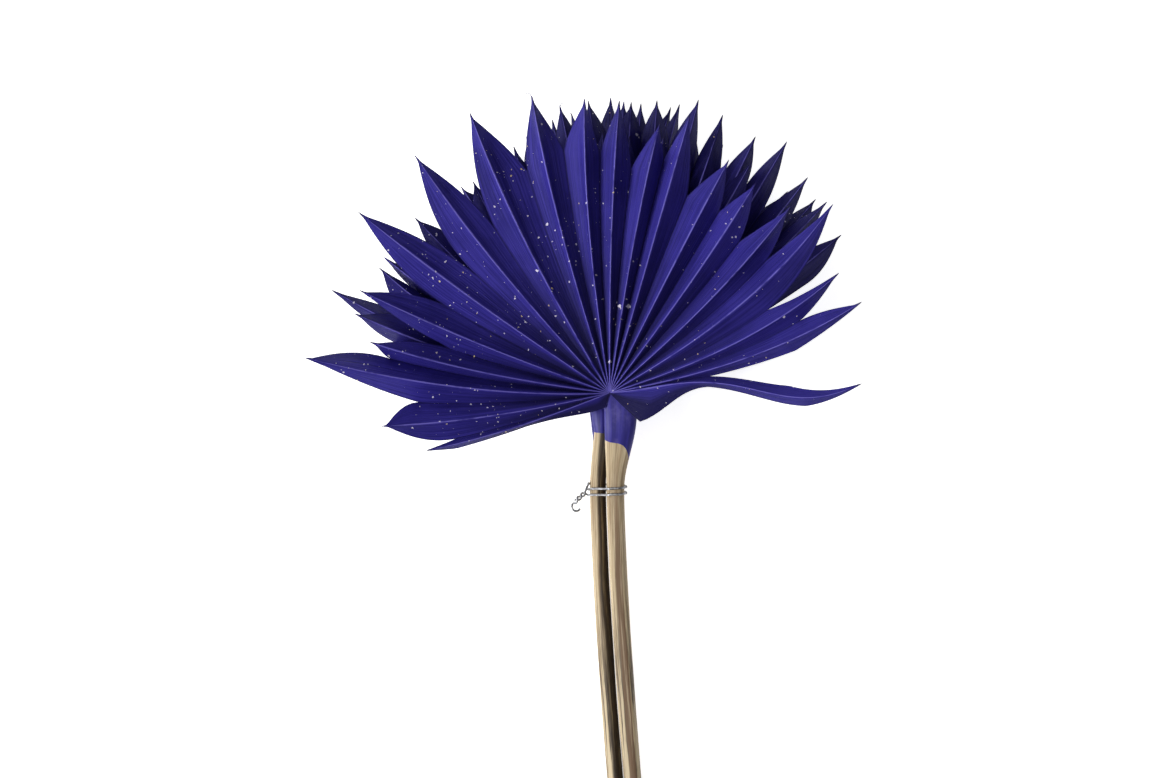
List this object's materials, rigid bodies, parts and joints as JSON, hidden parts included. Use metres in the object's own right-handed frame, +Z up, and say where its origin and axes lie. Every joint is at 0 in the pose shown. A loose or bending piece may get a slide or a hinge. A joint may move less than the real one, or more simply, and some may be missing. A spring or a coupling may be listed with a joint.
{
  "type": "bunch of fan palm leaves",
  "caption": "Tied bunch of dyed, trimmed and pleated fan palm leaves with bare cut stems, held by a wire tie and lying flat.",
  "frame": {"origin": "under the middle of the bunch's box, on the surface that the bunch lies on", "axes": "+Y from the cut stems towards the tips of the fans, +Z up from the surface, +X to the right as seen from above"},
  "size_m": [0.2332, 0.4304, 0.0555],
  "materials": {
    "dyed_blade": "dry fibrous leaf, dyed deep blue violet, faint sheen",
    "bare_stem": "dry straw-coloured stem with brown streaks along its fibres",
    "tie_wire": "thin grey binding wire"
  },
  "bodies": {
    "root": {"front_leaf_blade": "dyed_blade", "front_leaf_stem": "bare_stem", "second_leaf_blade": "dyed_blade", "second_leaf_stem": "bare_stem", "third_leaf_blade": "dyed_blade", "third_leaf_stem": "bare_stem", "fourth_leaf_blade": "dyed_blade", "fourth_leaf_stem": "bare_stem", "back_leaf_blade": "dyed_blade", "back_leaf_stem": "bare_stem", "wire_tie": "tie_wire"}
  },
  "joints": []
}
